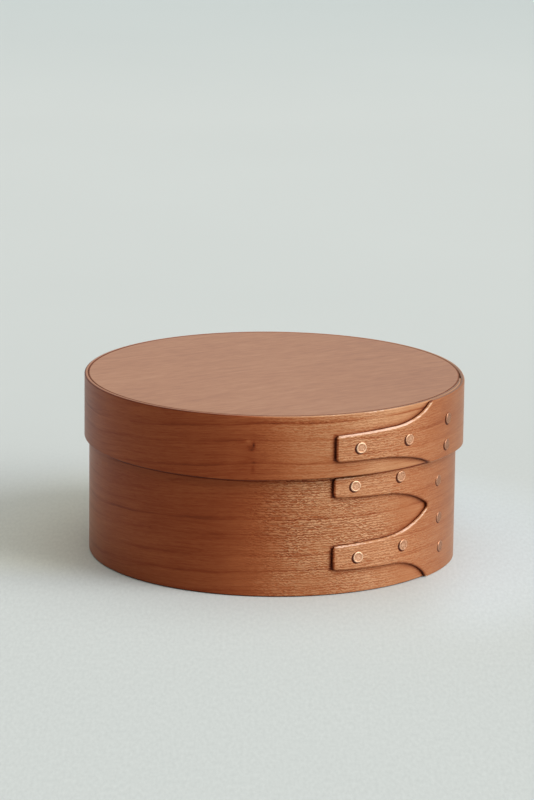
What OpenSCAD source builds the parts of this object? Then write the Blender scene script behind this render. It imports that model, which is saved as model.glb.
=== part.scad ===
// Round bentwood pantry box with a lift-off lid.
// Millimetres, +Z up, the bottom's underside at z = 0 on the box's axis.
// Angles are measured at the axis from the front (-Y) towards the right (+X).

/* [Box] */
// Inside radius of the body band, which is bent round the bottom disc
inner_radius = 80; // [72:1:90]
// Height of the body band
body_height = 75; // [71:1:85]
// Thickness of the bottom disc and of the lid disc
disc_thickness = 5.6; // [4:0.2:8]
// Bevel on the outer face's edge of each disc
disc_bevel = 0.4; // [0.1:0.1:0.8]

/* [Bent bands] */
// Thickness of the wood in both bands
wall = 1.6; // [1.4:0.1:1.9]
// Height of the lid band, from its lower edge to the top of the disc
lid_band_height = 28.6; // [27:0.2:34]
// Most that is planed off the lid band's lower edge, which runs at a slant over the lap
edge_planed = 1.1; // [0.2:0.1:2]
// Angle at which most is planed off
planed_angle = 40; // [30:1:60]
// Angle on both sides of that place over which the planing runs out
planed_span = 50; // [40:1:70]
// Gap between the lapped part of the body band and the lid band
lid_clearance = 0.3; // [0.25:0.05:0.6]

/* [Lap] */
// Angle at which the outer layer starts to come down off the inner layer
ramp_start = 72; // [70:1:76]
// Angle at which the thinned end of the inner layer stops
inner_end = 85; // [84:0.5:87]
// Angle at which the outer layer has come down to the disc
ramp_end = 100; // [98:1:106]
// Gap left at the closing point of the slot behind the inner layer's end
slot_relief = 0.05; // [0.02:0.01:0.1]

/* [Fingers] */
// Angle of the body band's fingertips
tip_angle = 18.8; // [14:0.2:22]
// Angle of the lid band's fingertip
lid_tip_angle = 18.4; // [14:0.2:22]
// Angle of the points where the arches beside the body's upper finger end
root_angle = 55.4; // [53:0.2:57]
// Angle of the point where the half arch at the body band's lower edge ends
low_root_angle = 55.8; // [53:0.2:57]
// Angle of the point where the half arch at the lid band's lower edge ends
lid_low_root_angle = 53.4; // [50:0.2:56]
// Angle of the point where the half arch at the lid band's upper edge ends
lid_high_root_angle = 53.8; // [50:0.2:56]
// Angle from which the finger outlines are cut straight through the layer
cut_angle = 45; // [42:1:50]
// Rounding of the fingertips' corners
tip_round = 1.8; // [0.5:0.1:2.2]
// Rounding at the point of the arch between the body's fingers
apex_round = 1.8; // [0.4:0.1:2.2]
// Rounding at the points of the half arches, which run out at the bands' edges
half_arch_round = 0.4; // [0.2:0.1:0.8]
// Taper of the fingers' straight edges, as a slope towards the tips
finger_taper = 0.046; // [0.01:0.002:0.06]
// The same at the lower edge of the body's lower finger
low_edge_taper = 0.024; // [0.01:0.002:0.04]
// The same at the lower edge of the lid's finger
lid_low_edge_taper = 0.008; // [0.004:0.002:0.04]
// Height of the middle line of the arch between the body's two fingers
mid_arch_z = 32.5; // [31:0.1:35]
// Half height of that arch
mid_arch_half = 9.85; // [9:0.05:10.5]
// Radius of that arch's sides
mid_arch_radius = 57; // [52:1:60]
// Height of the half arch at the body band's lower edge
low_arch_half = 10.3; // [9:0.1:11]
// Radius of that half arch
low_arch_radius = 33; // [30:0.5:38]
// Height of the half arch at the body band's upper edge, under the lid
high_arch_half = 22.6; // [20:0.1:23.5]
// Radius of that half arch
high_arch_radius = 50; // [46:1:54]
// Height of the half arch at the lid band's lower edge
lid_low_arch_half = 7.8; // [7:0.05:8.5]
// Radius of that half arch
lid_low_arch_radius = 73; // [64:1:78]
// Height of the half arch at the lid band's upper edge
lid_high_arch_half = 7.9; // [7:0.1:8.5]
// Radius of that half arch
lid_high_arch_radius = 45; // [40:1:56]

/* [Tacks] */
// Angles of the two tacks in the body's upper finger
upper_finger_angles = [25.8, 42.4]; // [24:0.1:48]
// Heights of those two tacks above the finger's middle line
upper_tack_heights = [0.4, 1.5]; // [-2:0.1:2]
// Angles of the two tacks in the body's lower finger
lower_finger_angles = [27, 43.8]; // [24:0.1:48]
// Heights of those two tacks above the finger's middle line
lower_tack_heights = [-0.1, 1.7]; // [-2:0.1:2]
// Angles of the two tacks in the lid's finger
lid_finger_angles = [26.1, 43.2]; // [24:0.1:48]
// Heights of those two tacks above the finger's middle line
lid_tack_heights = [0, 0.4]; // [-2:0.1:2]
// Angles of the three tacks in the column at the body's finger roots, from the lowest up
seam_angles = [63.8, 62.6, 61.7]; // [61:0.1:66]
// Heights of those three tacks
seam_heights = [11.3, 24.9, 41.9]; // [10:0.1:46]
// Angle of that column's fourth tack, whose head is level with the wood under the lid
covered_angle = 62.4; // [61:0.1:66]
// Depth of the fourth tack below the body band's upper edge
covered_depth = 15; // [12:0.5:17]
// Angles of the two tacks in the column at the lid's finger root, from the lower one up
lid_seam_angles = [62, 62.7]; // [61:0.1:66]
// Heights of those two tacks above the lid band's lower edge
lid_seam_heights = [6.6, 18.1]; // [5:0.1:19]
// Diameter of a tack's head
head_diameter = 4.9; // [3.6:0.1:5.4]
// How far a head stands out of the wood
head_rise = 0.4; // [0.2:0.05:0.6]
// Depth of the flat seat that a head is driven into
seat_depth = 0.15; // [0.1:0.05:0.3]
// Width of the square shank
shank_width = 1.1; // [0.8:0.1:1.3]
// Length of the point that is bent over inside
clinch_length = 2.8; // [2:0.1:3.5]
// Thickness of the bent point, which is as deep as its bed in the wood
clinch_depth = 0.4; // [0.3:0.05:0.5]
// Free space around a shank, a bent point and a head in the wood
tack_clearance = 0.07; // [0.04:0.01:0.12]

/* [Hidden] */
$fn = 144;
// The disc is pressed into its band by this much on the radius
disc_press = 0.03;
// Overlap of neighbouring arcs of the outer layer, in degrees
arc_overlap = 2;
// Step between neighbouring curves, which then cross cleanly where they would only touch
curve_step = 0.004;
// Length that the waste between the fingers runs on past their tips
tip_run = 5;
total_height = body_height + disc_thickness;
lid_z = total_height - lid_band_height;
lap_middle = (tip_angle + ramp_start) / 2;
// The lid band lies round the body's lap, so its circle is set off towards the lap by half a wall
lid_offset = [wall / 2 * sin(lap_middle), -wall / 2 * cos(lap_middle), 0];
lid_inner_radius = inner_radius + 1.5 * wall + lid_clearance;
ramp_middle = (ramp_start + ramp_end) / 2;
ramp_bend = 1 - cos(ramp_end - ramp_start);
// Distance from the axis to the centres of the two arcs that bring the outer layer down
ramp_centre = wall * (4 + sqrt(16 - 8 * ramp_bend)) / (4 * ramp_bend);
pilot_diameter = shank_width * sqrt(2) + 2 * tack_clearance;
// Arches are [height of the middle line, half height, radius of the sides, angle of the point,
// taper of the edges, rounding of the point]
BODY_ARCHES = [
    [0, low_arch_half, low_arch_radius, low_root_angle, low_edge_taper, half_arch_round],
    [mid_arch_z, mid_arch_half, mid_arch_radius, root_angle, finger_taper, apex_round],
    [body_height, high_arch_half, high_arch_radius, root_angle, finger_taper, half_arch_round],
];
LID_ARCHES = [
    [0, lid_low_arch_half, lid_low_arch_radius, lid_low_root_angle, lid_low_edge_taper, half_arch_round],
    [lid_band_height, lid_high_arch_half, lid_high_arch_radius, lid_high_root_angle, finger_taper, half_arch_round],
];

function at(angle, r) = [r * sin(angle), -r * cos(angle)];

// Places along a finger outline, seen square to the cutting direction, on a band of radius r
function tip_x(r, tip) = r * sin(tip - cut_angle);
function apex_x(r, arch) = r * sin(arch[3] - cut_angle);
function arch_reach(arch) = sqrt(pow(arch[2] - arch[5], 2) - pow(arch[2] - arch[1], 2));
function shoulder_x(r, arch) = apex_x(r, arch) - arch[5] - arch_reach(arch);
// Height of an arch's straight edge above its middle line at the place x
function arch_edge(r, arch, x) = arch[1] + arch[4] * (shoulder_x(r, arch) - x);
// Height of the middle of a finger between two arches, at its tip
function finger_z(r, tip, below, above) =
    (below[0] + arch_edge(r, below, tip_x(r, tip)) + above[0] - arch_edge(r, above, tip_x(r, tip))) / 2;

// Part of a ring from one angle to the next, round its own centre
module arc_band(centre, r_out, from, to, height) {
    thick = 1.5 * wall;
    translate([centre[0], centre[1], 0]) rotate_extrude(angle = to - from, start = from - 90)
        translate([r_out - thick, 0]) square([thick, height]);
}

// One arch between two fingers: straight tapering sides, then two arcs that meet in a rounded point
module arch(r, tip, arch) {
    half = arch[1];
    radius = arch[2];
    rounding = arch[5];
    shoulder = shoulder_x(r, arch);
    start = tip_x(r, tip) - tip_run;
    tangent_x = shoulder + arch_reach(arch) * radius / (radius - rounding);
    translate([0, arch[0]]) {
        polygon([
            [start, -arch_edge(r, arch, start)],
            [shoulder, -half],
            [shoulder, half],
            [start, arch_edge(r, arch, start)],
        ]);
        intersection() {
            translate([shoulder, half - radius]) circle(radius);
            translate([shoulder, radius - half]) circle(radius);
            translate([shoulder - 1, -half - 1]) square([tangent_x - shoulder + 1, 2 * half + 2]);
        }
        translate([apex_x(r, arch) - rounding, 0]) circle(rounding - curve_step);
    }
}

// What rounds a fingertip's corner above (side 1) or below (side -1) an arch
module tip_corner(r, tip, arch, side) {
    x = tip_x(r, tip);
    z = arch[0] + side * arch_edge(r, arch, x + tip_round);
    inset = tip_round + curve_step;
    difference() {
        translate([x - 1, side > 0 ? z - 1 : z - tip_round]) square([tip_round + 1, tip_round + 1]);
        translate([x + inset, z + side * inset]) circle(tip_round);
    }
}

// Everything that is cut off the outer layer to leave the fingers
module finger_waste(r, tip, arches, height) {
    last = len(arches) - 1;
    rotate([90, 0, cut_angle]) linear_extrude(r + 3 * wall) {
        translate([tip_x(r, tip) - tip_run, -1]) square([tip_run, height + 2]);
        for (i = [0 : last]) {
            arch(r, tip, arches[i]);
            if (i < last) tip_corner(r, tip, arches[i], 1);
            if (i > 0) tip_corner(r, tip, arches[i], -1);
        }
    }
}

// The outer layer of the lap: level on the inner layer, then down to it through two arcs.
// Each arc reaches a little past its ends and lies a hair deeper than the one before it.
module outer_layer(r, tip, height) {
    level_r = r + 2 * wall;
    steep_r = level_r - ramp_centre - curve_step;
    flat_r = r + wall + ramp_centre - 2 * curve_step;
    arc_band([0, 0], level_r, tip - arc_overlap, ramp_start, height);
    arc_band(at(ramp_start, ramp_centre), steep_r, ramp_start - arc_overlap, ramp_middle, height);
    arc_band(at(ramp_end, -ramp_centre), flat_r, ramp_middle - arc_overlap, ramp_end + arc_overlap, height);
}

// The narrow slot between the disc, the inner layer's end and the outer layer
module lap_slot(r, height) {
    translate([0, 0, -1]) linear_extrude(height + 2) intersection() {
        translate(at(ramp_end, -ramp_centre)) circle(r + ramp_centre - slot_relief);
        polygon([[0, 0], at(inner_end, 2 * r), at(ramp_end, 2 * r)]);
    }
}

// A whole bent band of inside radius r: inner layer, lap and fingers
module bent_band(r, tip, height, arches) {
    difference() {
        union() {
            cylinder(h = height, r = r + wall);
            difference() {
                outer_layer(r, tip, height);
                finger_waste(r + 2 * wall, tip, arches, height);
            }
        }
        translate([0, 0, -1]) cylinder(h = height + 2, r = r);
        lap_slot(r, height);
    }
}

// A disc with a bevelled edge on the face that shows; side is 1 for the upper face, -1 for the lower
module disc(radius, side) {
    level = side > 0 ? disc_thickness : 0;
    rotate_extrude() difference() {
        square([radius, disc_thickness]);
        polygon([
            [radius - disc_bevel, level],
            [radius - disc_bevel, level + side],
            [radius + 1, level + side],
            [radius + 1, level - side * disc_bevel],
            [radius, level - side * disc_bevel],
        ]);
    }
}

// Moves its children to an angle and a height on a band, with +X pointing outwards
module on_band(angle, z) {
    rotate([0, 0, angle - 90]) translate([0, 0, z]) children();
}

// Outline of a clinched point, which runs down from the shank and narrows
module clinch_outline(grow) {
    w = shank_width / 2 + grow;
    polygon([
        [w, -w],
        [w, w],
        [-clinch_length - grow, shank_width / 5 + grow],
        [-clinch_length - grow, -shank_width / 5 - grow],
    ]);
}

// Flat slab with the clinched point's outline, between two distances from the axis
module clinch_slab(from, to, grow) {
    translate([from, 0, 0]) rotate([0, 90, 0]) mirror([1, 0, 0])
        linear_extrude(to - from) clinch_outline(grow);
}

// A tack through both layers of a band of inside radius r; level puts its head flush with the wood
module tack(r, level = false) {
    surface = r + 2 * wall;
    seat = surface - seat_depth - (level ? head_rise : 0);
    translate([seat, 0, 0]) rotate([0, 90, 0]) rotate_extrude() polygon([
        [0, 0],
        [head_diameter / 2, 0],
        [head_diameter / 2, seat_depth + head_rise * 0.3],
        [head_diameter * 0.32, seat_depth + head_rise],
        [0, seat_depth + head_rise],
    ]);
    translate([r + 0.05, -shank_width / 2, -shank_width / 2])
        cube([seat - r, shank_width, shank_width]);
    clinch_slab(r + 0.05, r + clinch_depth, 0);
}

// The room that a tack takes up in a band
module tack_room(r, level = false) {
    surface = r + 2 * wall;
    seat = surface - seat_depth - (level ? head_rise : 0);
    translate([seat, 0, 0]) rotate([0, 90, 0])
        cylinder(h = head_rise + 1, d = head_diameter + 2 * tack_clearance);
    translate([r - 1, 0, 0]) rotate([0, 90, 0]) cylinder(h = 2 * wall + 1, d = pilot_diameter, $fn = 36);
    clinch_slab(r - 1, r + clinch_depth, tack_clearance);
}

// Children placed at the two tacks of a finger whose middle line is at the height z
module at_finger(angles, heights, z) {
    for (i = [0 : 1]) on_band(angles[i], z + heights[i]) children();
}

// Children placed at each tack of a column
module at_column(angles, heights) {
    for (i = [0 : len(angles) - 1]) on_band(angles[i], heights[i]) children();
}

// Children placed at the tack that the lid covers
module at_covered() {
    on_band(covered_angle, body_height - covered_depth) children();
}

upper_finger_z = finger_z(inner_radius + 2 * wall, tip_angle, BODY_ARCHES[1], BODY_ARCHES[2]);
lower_finger_z = finger_z(inner_radius + 2 * wall, tip_angle, BODY_ARCHES[0], BODY_ARCHES[1]);
lid_finger_z = finger_z(lid_inner_radius + 2 * wall, lid_tip_angle, LID_ARCHES[0], LID_ARCHES[1]);

module body_band() {
    color("#8c4f34") difference() {
        bent_band(inner_radius, tip_angle, body_height, BODY_ARCHES);
        at_finger(upper_finger_angles, upper_tack_heights, upper_finger_z) tack_room(inner_radius);
        at_finger(lower_finger_angles, lower_tack_heights, lower_finger_z) tack_room(inner_radius);
        at_column(seam_angles, seam_heights) tack_room(inner_radius);
        at_covered() tack_room(inner_radius, level = true);
    }
}

module bottom_disc() {
    color("#b98a6c") disc(inner_radius + disc_press, -1);
}

module upper_finger_tacks() {
    color("#c08a78") at_finger(upper_finger_angles, upper_tack_heights, upper_finger_z) tack(inner_radius);
}

module lower_finger_tacks() {
    color("#c08a78") at_finger(lower_finger_angles, lower_tack_heights, lower_finger_z) tack(inner_radius);
}

module body_seam_tacks() {
    color("#c08a78") {
        at_column(seam_angles, seam_heights) tack(inner_radius);
        at_covered() tack(inner_radius, level = true);
    }
}

// What is planed off the lid band's lower edge: all that lies under a slanting plane
module planed_off() {
    outside = lid_inner_radius + 2 * wall;
    start = outside * cos(planed_span);
    slant = atan(edge_planed / (outside - start));
    on_band(planed_angle, 0) translate([start, -outside, 0]) rotate([0, -slant, 0])
        translate([0, 0, -outside]) cube([2 * outside, 2 * outside, outside]);
}

// Children placed in the lid's own frame: its centre, and z from its lower edge
module in_lid() {
    translate(lid_offset) translate([0, 0, lid_z]) children();
}

module lid_band() {
    color("#95573a") in_lid() difference() {
        bent_band(lid_inner_radius, lid_tip_angle, lid_band_height, LID_ARCHES);
        at_finger(lid_finger_angles, lid_tack_heights, lid_finger_z) tack_room(lid_inner_radius);
        at_column(lid_seam_angles, lid_seam_heights) tack_room(lid_inner_radius);
        planed_off();
    }
}

module lid_disc() {
    color("#b98a6c") translate(lid_offset) translate([0, 0, body_height])
        disc(lid_inner_radius + disc_press, 1);
}

module lid_finger_tacks() {
    color("#c08a78") in_lid() at_finger(lid_finger_angles, lid_tack_heights, lid_finger_z) tack(lid_inner_radius);
}

module lid_seam_tacks() {
    color("#c08a78") in_lid() at_column(lid_seam_angles, lid_seam_heights) tack(lid_inner_radius);
}

body_band();
bottom_disc();
upper_finger_tacks();
lower_finger_tacks();
body_seam_tacks();
lid_band();
lid_disc();
lid_finger_tacks();
lid_seam_tacks();
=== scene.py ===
# %% [markdown]
# # A bentwood pantry box
# The real box is made of two thin strips of cherry wood. Each strip is steamed, bent round a
# form and lapped on itself, and the outer end of the lap is cut into long pointed fingers that
# small copper tacks hold down. One flat disc closes the bottom and another the lid. This lesson
# builds the box the way its maker does: saw a flat strip, cut the fingers, round the edges, bend
# the strip, fit the discs and drive the tacks.
#
# The measuring frame is loaded first. It holds the plain solids of the same box, in metres, and
# every new piece takes the place of one of them. The size of those solids is kept, because the
# dressed box may not grow past it.

# %% Load the frame
import bmesh
import bpy
import math
from mathutils import Matrix, Vector, noise


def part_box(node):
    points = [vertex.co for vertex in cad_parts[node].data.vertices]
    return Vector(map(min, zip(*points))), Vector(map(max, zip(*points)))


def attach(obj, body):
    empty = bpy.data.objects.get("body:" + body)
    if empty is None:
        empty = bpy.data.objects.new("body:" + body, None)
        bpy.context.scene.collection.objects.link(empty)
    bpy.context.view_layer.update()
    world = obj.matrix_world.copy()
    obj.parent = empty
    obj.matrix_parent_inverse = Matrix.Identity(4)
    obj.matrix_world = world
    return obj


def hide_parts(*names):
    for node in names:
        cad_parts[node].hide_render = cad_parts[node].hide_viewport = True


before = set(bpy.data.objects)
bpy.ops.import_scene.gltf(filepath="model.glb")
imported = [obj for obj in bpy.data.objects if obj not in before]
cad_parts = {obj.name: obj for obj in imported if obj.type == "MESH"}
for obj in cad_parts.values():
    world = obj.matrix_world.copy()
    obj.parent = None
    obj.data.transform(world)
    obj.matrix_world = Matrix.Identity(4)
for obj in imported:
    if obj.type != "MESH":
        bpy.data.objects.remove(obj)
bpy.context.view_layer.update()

MM = 0.001
print("plain solids:", sorted(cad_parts))

# %% [markdown]
# ## The camera
# A picture of a round box tells where the camera stood: the flatter the lid's oval, the lower the
# camera, and the more alike the near and far rims, the longer the lens. Here a long lens looks
# down at 13.5 degrees from 1.76 m away. The camera is tilted by two thirds of a degree, as a
# hand-levelled tripod often is. Its own axes are written straight into its matrix, which avoids
# any doubt about the order of turns.

# %% Camera
distance = 1.761
looking_down = math.radians(13.455)
tilt = math.radians(0.683)
aim = Vector((-0.00232, 0, 0.06763))

back = Vector((0, -math.cos(looking_down), math.sin(looking_down)))
level_right = Vector((1, 0, 0))
level_up = back.cross(level_right)
right = math.cos(tilt) * level_right + math.sin(tilt) * level_up
up = math.cos(tilt) * level_up - math.sin(tilt) * level_right

# the sensor's 36 mm lie along the picture's longer side, which is its height
picture_height = 800
focal_pixels = 3944
sensor = 36
camera = bpy.data.objects.new("camera", bpy.data.cameras.new("camera"))
camera.data.sensor_width = sensor
camera.data.lens = focal_pixels * sensor / picture_height
camera.data.clip_end = 60
camera.matrix_world = Matrix((right, up, back)).transposed().to_4x4()
camera.matrix_world.translation = aim + distance * back
bpy.context.scene.collection.objects.link(camera)
bpy.context.scene.camera = camera
bpy.context.scene.view_settings.view_transform = "Standard"
print("lens %.1f mm, camera at" % camera.data.lens, [round(v, 3) for v in camera.matrix_world.translation])

# %% [markdown]
# ## A small helper for finishes
# A material is a tree of nodes: some read where a point of the surface is, some make patterns,
# and the last one is the shader. Written out, each node takes four lines, which hides the idea.
# The first helper makes a node, sets what it is given and plugs in what is a socket. The others
# give plain names to the nodes that are used most, so that a pattern, which is a number at every
# point, reads like a sentence.

# %% Node helper
class Finish:
    """A new material (or the world) whose nodes are added one call at a time."""

    def __init__(self, name, tree=None):
        if tree is None:
            self.material = bpy.data.materials.new(name)
            self.material.use_nodes = True
            tree = self.material.node_tree
        self.tree = tree
        tree.nodes.clear()

    def add(self, kind, settings=None, **inputs):
        """Adds a node. An input goes by its name, or by i and its number where names repeat."""
        made = self.tree.nodes.new("ShaderNode" + kind)
        for key, value in (settings or {}).items():
            setattr(made, key, value)
        for key, value in inputs.items():
            numbered = key[0] == "i" and key[1:].isdigit()
            socket = made.inputs[int(key[1:]) if numbered else key.replace("_", " ")]
            if isinstance(value, bpy.types.NodeSocket):
                self.tree.links.new(value, socket)
            else:
                socket.default_value = value
        return made

    def place(self):
        return self.add("TexCoord").outputs["Object"]

    def millimetres(self, vector, turn=0, inwards=1):
        """A place in metres as millimetres, turned by degrees. inwards is -1 where z goes into the wood."""
        return self.add("Mapping", i0=vector, Scale=(1000, 1000, inwards * 1000),
                        Rotation=(0, 0, math.radians(turn))).outputs[0]

    def attribute(self, name, output="Vector"):
        return self.add("Attribute", {"attribute_name": name}).outputs[output]

    def parts(self, vector):
        return self.add("SeparateXYZ", i0=vector).outputs

    def vector(self, operation, a, b=(0, 0, 0), c=(0, 0, 0)):
        made = self.add("VectorMath", {"operation": operation}, i0=a, i1=b, i2=c)
        return made.outputs["Value" if operation in ("LENGTH", "DISTANCE", "DOT_PRODUCT") else "Vector"]

    def math(self, operation, a, b=0.0):
        return self.add("Math", {"operation": operation}, i0=a, i1=b).outputs[0]

    def one_by_one(self, operation, so_far, *others):
        for part in others:
            so_far = self.math(operation, so_far, part)
        return so_far

    def total(self, *parts):
        return self.one_by_one("ADD", *parts)

    def product(self, *parts):
        return self.one_by_one("MULTIPLY", *parts)

    def most(self, *parts):
        return self.one_by_one("MAXIMUM", *parts)

    def rest(self, share):
        """What a share from 0 to 1 leaves over."""
        return self.math("SUBTRACT", 1.0, share)

    def swing(self, pattern, strength):
        """A pattern from 0 to 1 as a swing of half the strength down and half of it up."""
        return self.product(self.math("SUBTRACT", pattern, 0.5), strength)

    def noise(self, vector, size, detail=2.0, rough=0.5, seed=0.0):
        """Random pattern from 0 to 1, with lumps of size (along, across, through). The seed moves it."""
        stretched = self.add("Mapping", i0=vector, Scale=[1 / s for s in size],
                             Location=(seed, seed * 0.7, seed * 1.3)).outputs[0]
        return self.add("TexNoise", Vector=stretched, Scale=1.0, Detail=detail, Roughness=rough).outputs[0]

    def slope(self, value, low, high, start=0.0, end=1.0, kind="SMOOTHSTEP"):
        """Goes from start to end while the value goes from low to high."""
        return self.add("MapRange", {"interpolation_type": kind}, Value=value, From_Min=low, From_Max=high,
                        To_Min=start, To_Max=end).outputs[0]

    def above(self, value, low, soft):
        """1 where the value lies above low and 0 below it, with a soft change."""
        return self.slope(value, low - soft, low + soft)

    def below(self, value, high, soft):
        return self.slope(value, high - soft, high + soft, 1.0, 0.0)

    def between(self, value, low, high, soft):
        return self.product(self.above(value, low, soft), self.below(value, high, soft))

    def ramp(self, value, stops):
        """Turns a number into a colour (or a number) through stops of (place, colour)."""
        made = self.add("ValToRGB", Fac=value)
        while len(made.color_ramp.elements) < len(stops):
            made.color_ramp.elements.new(1.0)
        for element, (place, colour) in zip(made.color_ramp.elements, stops):
            element.position = place
            element.color = (*colour, 1) if isinstance(colour, tuple) else (colour, colour, colour, 1)
        return made.outputs["Color"]

    def ramp_along(self, value, length, stops):
        """A ramp whose stops are places along a length."""
        stops = [(place / length, colour) for place, colour in stops]
        return self.ramp(self.math("DIVIDE", value, length), stops)

    def mix(self, share, first, second, blend="MIX"):
        made = self.add("Mix", {"data_type": "RGBA", "blend_type": blend}, i0=share, i6=first, i7=second)
        return made.outputs[2]

    def bump(self, strength, distance, height):
        return self.add("Bump", Strength=strength, Distance=distance, Height=height).outputs[0]

    def shader(self, **inputs):
        """Ends the material in one shader."""
        made = self.add("BsdfPrincipled", **inputs)
        self.add("OutputMaterial", Surface=made.outputs[0])
        return self.material


print("a finish knows:", [name for name in vars(Finish) if not name.startswith("_")])

# %% [markdown]
# ## Paper
# The box stands on a sheet of pale grey-green paper that fills the picture. A disc of 8 m is
# plenty, because the camera looks down everywhere. The paper has soft clouds and, in front, short
# fibres. It is a little darker at the box, a painted shade of the box, and darker and bluer far
# behind it. Beside the box, painted light lifts the box's shadow and warms it, and the paper at
# the window's side is painted paler and bluer. The camera and the reflections see that. Light on
# its way to the wood meets a warmer, duller paper, which gives the foot of the box its warm glow.

# %% Paper
def seen(finish):
    """1 for rays from the camera, a reflection or a clear material, 0 for light on its way."""
    ray = finish.add("LightPath").outputs
    return finish.most(ray["Is Camera Ray"], ray["Is Glossy Ray"], ray["Is Transmission Ray"])


paper = Finish("pale_paper")
place = paper.place()
across, away = paper.parts(place)[:2]
from_box = paper.vector("LENGTH", place)
cloudy = paper.noise(place, (0.5, 0.5, 0.5), detail=3)
fibres = paper.swing(paper.noise(place, (0.0014, 0.0045, 0.01)), 1.6)
fibres = paper.product(fibres, paper.below(away, 0.12, 0.16))
shade = paper.ramp(paper.total(0.5, paper.swing(cloudy, 0.6), fibres),
                   [(0.0, (0.624, 0.675, 0.673)), (1.0, (0.711, 0.765, 0.762))])
# painted shade: darker near the box; farther off, darker and bluer far behind
darker_near_box_and_far = paper.ramp_along(from_box, 4, [
    (0.12, 0.95), (0.48, 0.985), (1.2, 1.0), (1.84, (0.915, 0.945, 0.955)), (4, (0.87, 0.90, 0.91))])
shade = paper.mix(1.0, shade, darker_near_box_and_far, "MULTIPLY")
# painted light: the box's shadow beside it is lifted and warmed, and the window's side is made paler and
# bluer
beside = paper.below(from_box, 0.14, 0.045)
in_shadow = paper.product(paper.below(across, -0.075, 0.02), paper.above(away, -0.045, 0.02))
lit = paper.above(across, 0.075, 0.02)
for side, tint in ((in_shadow, (1.14, 1.12, 1.03, 1)), (lit, (1.10, 1.14, 1.20, 1))):
    shade = paper.mix(paper.product(beside, side), shade, tint, "MULTIPLY")
shade = paper.mix(seen(paper), (0.62, 0.53, 0.44, 1), shade)
paper.shader(Base_Color=shade, Roughness=0.9, Specular_IOR_Level=0.1)

paper_radius = 8
clear_of_box = 0.0001
bm = bmesh.new()
bmesh.ops.create_circle(bm, cap_ends=True, radius=paper_radius, segments=96)
bmesh.ops.translate(bm, verts=bm.verts, vec=(0, 0, -clear_of_box))
floor_mesh = bpy.data.meshes.new("paper_floor")
bm.to_mesh(floor_mesh)
bm.free()
floor = bpy.data.objects.new("paper_floor", floor_mesh)
floor.data.materials.append(paper.material)
bpy.context.scene.collection.objects.link(floor)
print("paper: %d m across, %d nodes" % (2 * paper_radius, len(paper.tree.nodes)))

# %% [markdown]
# ## Light
# A wide window on the right gives the box its bright and its dark side, its low sill lights the
# upright wood from the front right, and a soft panel overhead fills the window's shadow on the
# paper but hardly reaches the upright sides. All three are sun lamps with a wide angle: unlike a
# lamp close by, a sun lights the paper evenly out to the horizon. The world adds the weak light
# of the room. Shiny surfaces should mirror a pale room even where little light comes from it, so
# the world shows reflections paler walls than it lights with, and a darker corner at the left
# behind the camera, which keeps the box's dark side deep.

# %% Lamps and room
def soft_lamp(name, energy, angle, side, height):
    """A sun lamp as wide as the angle, from a side (0 in front, 90 right) and a height, in degrees."""
    lamp = bpy.data.objects.new(name, bpy.data.lights.new(name, "SUN"))
    lamp.data.energy = energy
    lamp.data.angle = math.radians(angle)
    a = math.radians(side)
    h = math.radians(height)
    lamp_from = Vector((math.sin(a) * math.cos(h), -math.cos(a) * math.cos(h), math.sin(h)))
    lamp.rotation_euler = lamp_from.to_track_quat("Z", "Y").to_euler()
    bpy.context.scene.collection.objects.link(lamp)
    print(name, "lights the paper with", round(energy * math.sin(h) / math.pi, 2))


soft_lamp("window", 1.68, 36, 68, 36)
soft_lamp("window_sill", 0.95, 40, 60, 10)
soft_lamp("ceiling_panel", 1.36, 90, 60, 80)

room = bpy.data.worlds.new("room")
room.use_nodes = True
bpy.context.scene.world = room
air = Finish("room", room.node_tree)
direction = air.add("TexCoord").outputs["Generated"]
upward = air.most(air.parts(direction)[2], 0.0)
ceiling = air.ramp(air.math("POWER", upward, 2.0), [(0.0, (0.070, 0.058, 0.044)), (1.0, (0.32, 0.29, 0.235))])
dark_corner = air.vector("DOT_PRODUCT", direction, (-0.75, -0.66, 0))
walls = air.ramp(dark_corner, [(0.35, (0.60, 0.65, 0.64)), (0.9, (0.20, 0.20, 0.19))])
glow = air.add("Background", Color=air.mix(seen(air), ceiling, walls), Strength=1.0)
air.add("OutputWorld", Surface=glow.outputs[0])
print("the room adds", len(air.tree.nodes), "nodes of weak light")

# %% [markdown]
# ## The sizes of the two strips
# All sizes are millimetres here and become metres when a mesh is finished. A band's radius, height
# and place are measured on its plain solid, so that the new band fits where the plain one is. What
# a box of corners can't tell, such as the arches between the fingers, is written as a real size.
# Angles are counted from the front of the box towards its right side. A strip starts at its
# fingertips, runs level over its own inner layer, comes down through two opposite arcs, and then
# goes all the way round and under the fingers to its thinned inner end.

# %% Sizes
WALL = 1.6  # thickness of the strip
SKIN = 0.02  # how far every outer face keeps inside the plain solids
CLEAR = 0.03  # keeps two faces that touch from lying in one place
RAMP_START = 72  # angle at which the outer layer starts to come down
INNER_END = 85  # angle at which the inner layer ends
RAMP_END = 100  # angle from which the strip is a single layer
THIN_TURN = 81.4  # angle at which the inner layer's planing passes from the first arc to the second
BODY_TIP = 18.8  # angle of the body's fingertips
LAP_MIDDLE = math.radians((BODY_TIP + RAMP_START) / 2)
LID_OFFSET = Vector((WALL / 2 * math.sin(LAP_MIDDLE), -WALL / 2 * math.cos(LAP_MIDDLE), 0))


def measured_band(node, offset):
    """A band's inner radius, height and place, to 0.1 mm. Its left side is a single layer of wood."""
    low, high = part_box(node)
    radius = round(offset.x - low.x / MM - WALL, 1)
    return dict(radius=radius, outside=radius + 2 * WALL, height=round((high.z - low.z) / MM, 1),
                lift=round(low.z / MM, 1), offset=offset)


BODY = measured_band("body_band", Vector((0, 0, 0)))
LID = measured_band("lid_band", LID_OFFSET)

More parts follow.
